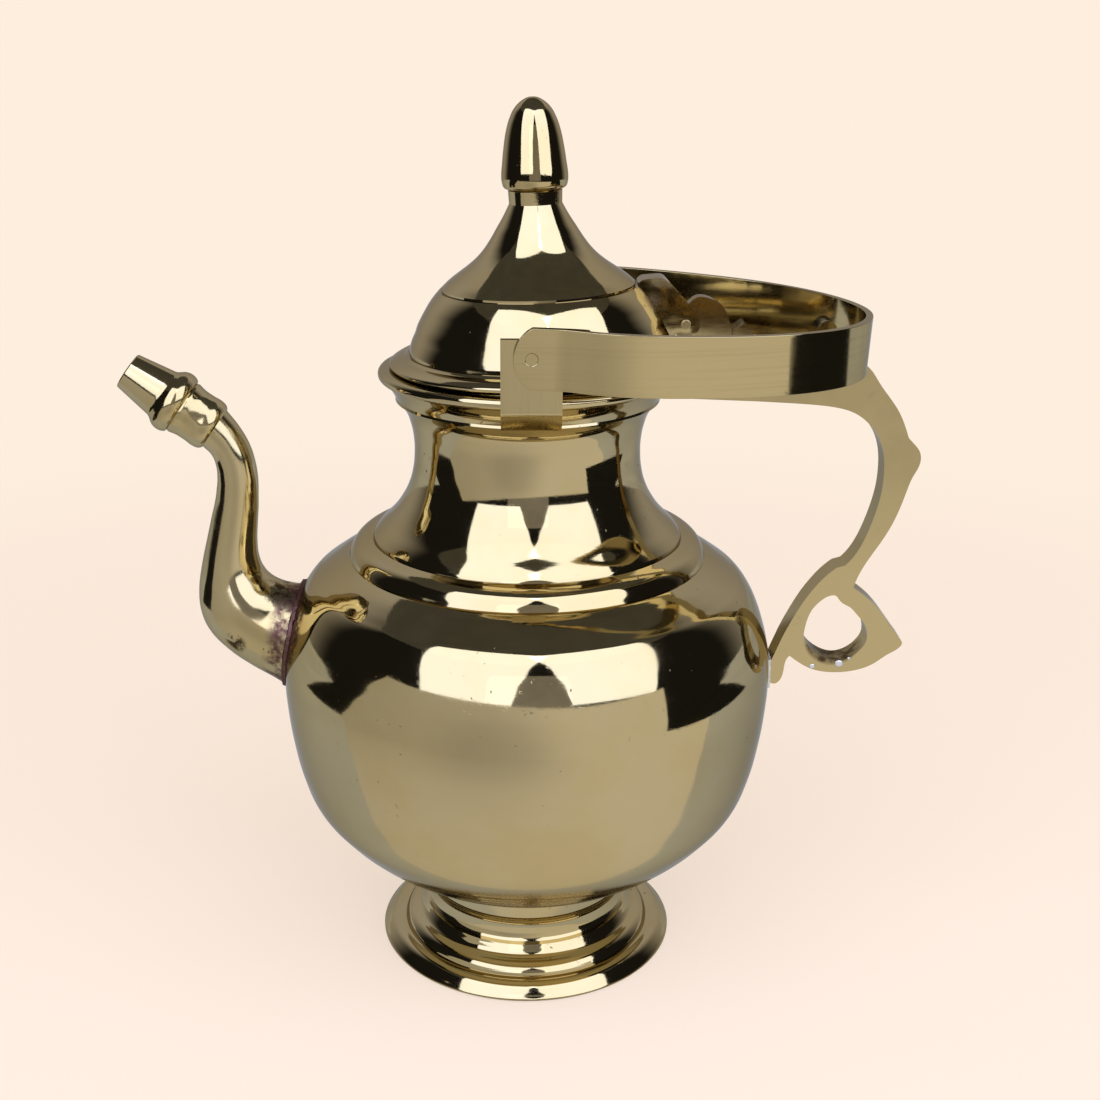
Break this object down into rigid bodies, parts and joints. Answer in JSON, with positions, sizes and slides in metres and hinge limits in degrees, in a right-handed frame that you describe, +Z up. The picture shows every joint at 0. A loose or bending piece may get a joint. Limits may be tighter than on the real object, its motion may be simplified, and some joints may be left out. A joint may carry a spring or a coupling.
{
  "type": "kamandal water pot",
  "caption": "Footed brass water pot with a round belly, a curved cast spout, a scrolled side handle, a domed lid hinged to the handle and a swinging strap bail.",
  "frame": {"origin": "on the pot's turning axis, in the plane of the foot's underside that stands on the table", "axes": "+Z up along the pot's axis, -X towards the spout, +X towards the handle, -Y towards the viewer"},
  "size_m": [0.2296, 0.145, 0.2541],
  "materials": {
    "polished_brass": "mirror polished and lacquered",
    "cast_brass": "cast, filed and satin polished",
    "brass_strip": "rolled strip, satin polished",
    "solder": "silver-grey solder, dull"
  },
  "bodies": {
    "pot": {"foot_ring": "polished_brass", "belly_bowl": "polished_brass", "neck_collar": "polished_brass", "spout_tube": "polished_brass", "spout_nozzle": "polished_brass", "spout_solder": "solder", "handle_casting": "cast_brass", "handle_solder": "solder", "ear_near": "brass_strip", "ear_far": "brass_strip", "rivet_near": "brass_strip", "rivet_far": "brass_strip"},
    "lid": {"lid_shell": "polished_brass", "lid_collar": "polished_brass", "lid_hinge_lug": "cast_brass", "hinge_pin": "brass_strip", "finial": "polished_brass", "finial_nut": "brass_strip"},
    "bail": {"bail_strip": "brass_strip"}
  },
  "joints": [
    {"name": "lid_hinge", "type": "hinge", "parent": "pot", "child": "lid", "pos_m": [0.044, 0, 0.1935], "axis": [0, 1, 0], "range_deg": [0, 85]},
    {"name": "bail_hinge", "type": "hinge", "parent": "pot", "child": "bail", "pos_m": [0.001, 0, 0.1938], "axis": [0, -0.9997, -0.0244], "range_deg": [0, 180]}
  ]
}
